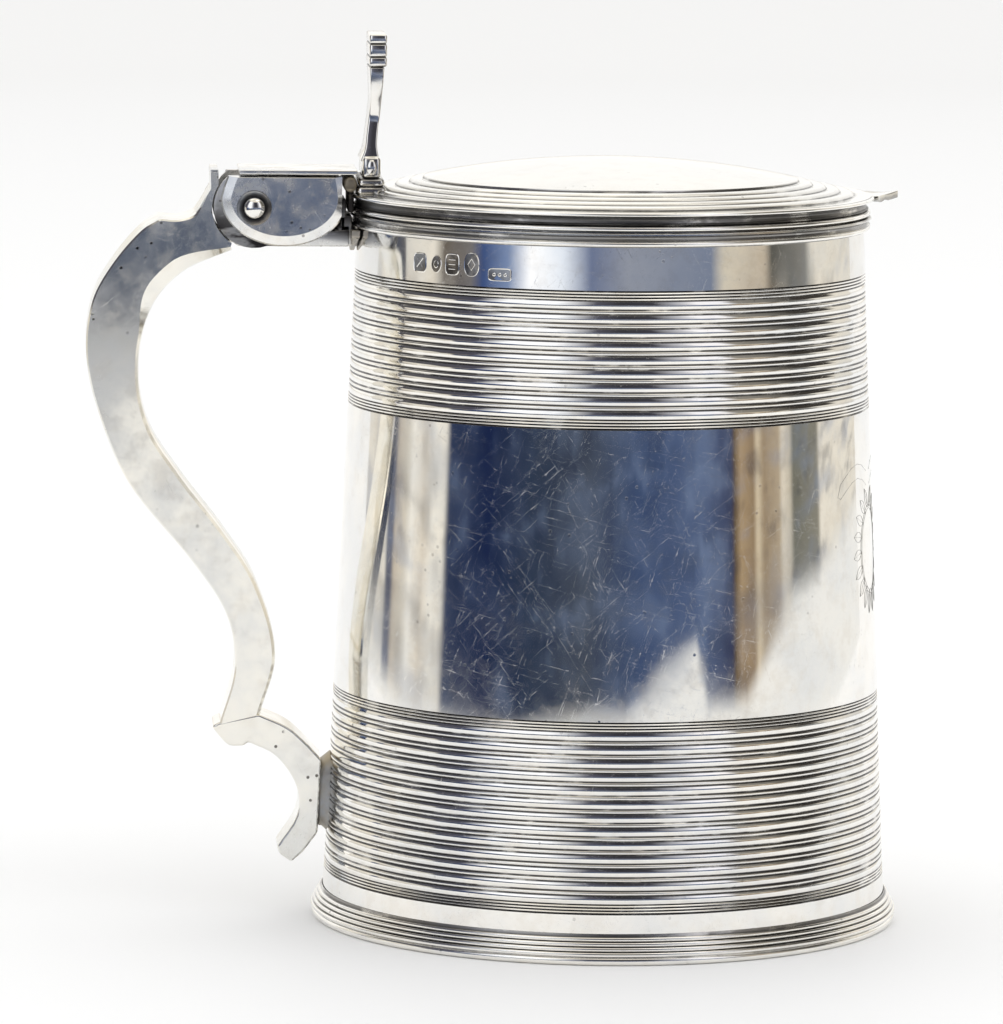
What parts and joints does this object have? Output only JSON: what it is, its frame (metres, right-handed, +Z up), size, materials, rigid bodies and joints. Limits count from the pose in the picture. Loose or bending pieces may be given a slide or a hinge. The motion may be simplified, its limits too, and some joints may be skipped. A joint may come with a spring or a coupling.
{
  "type": "lidded tankard",
  "caption": "Silver tankard: tapered drum with reeded bands, stepped hinged lid with peak and thumbpiece, and a hollow scroll handle.",
  "frame": {"origin": "on the drum's axis, in the plane of the surface that the foot stands on; the base plate's underside is let in 1.2 mm above it", "axes": "+Z up along the drum's axis, +X towards the lid's peak, -X towards the handle, hinge pin along Y"},
  "size_m": [0.1706, 0.123, 0.1852],
  "materials": {
    "polished_silver": "polished silver with fine wear scratches",
    "worn_silver": "duller silver where polishing reaches less",
    "dark_silver": "silver darkened by tarnish in the hinge"
  },
  "bodies": {
    "tankard_body": {"drum": "polished_silver", "base_plate": "worn_silver", "foot_moulding": "polished_silver", "rim_moulding": "polished_silver", "handle_side_near": "polished_silver", "handle_side_far": "polished_silver", "handle_spine": "polished_silver", "handle_inner_strip": "polished_silver", "handle_shoulder_cap": "worn_silver", "handle_lower_scroll": "polished_silver", "handle_pad": "worn_silver", "joint_shield": "worn_silver", "hinge_lug": "dark_silver", "hinge_bush": "dark_silver"},
    "lid": {"lid_plate": "polished_silver", "lid_edge_moulding": "polished_silver", "lid_bezel": "worn_silver", "lid_peak": "polished_silver", "strap_plate": "polished_silver", "strap_riser": "polished_silver", "hinge_cheek_near": "worn_silver", "hinge_cheek_far": "worn_silver", "hinge_pin": "polished_silver", "pin_washer_near": "dark_silver", "pin_washer_far": "dark_silver", "thumbpiece": "polished_silver", "thumbpiece_plinth": "polished_silver"}
  },
  "joints": [
    {"name": "lid_hinge", "type": "hinge", "parent": "tankard_body", "child": "lid", "pos_m": [-0.0745, 0, 0.1493], "axis": [0, -1, 0], "range_deg": [0, 80]}
  ]
}
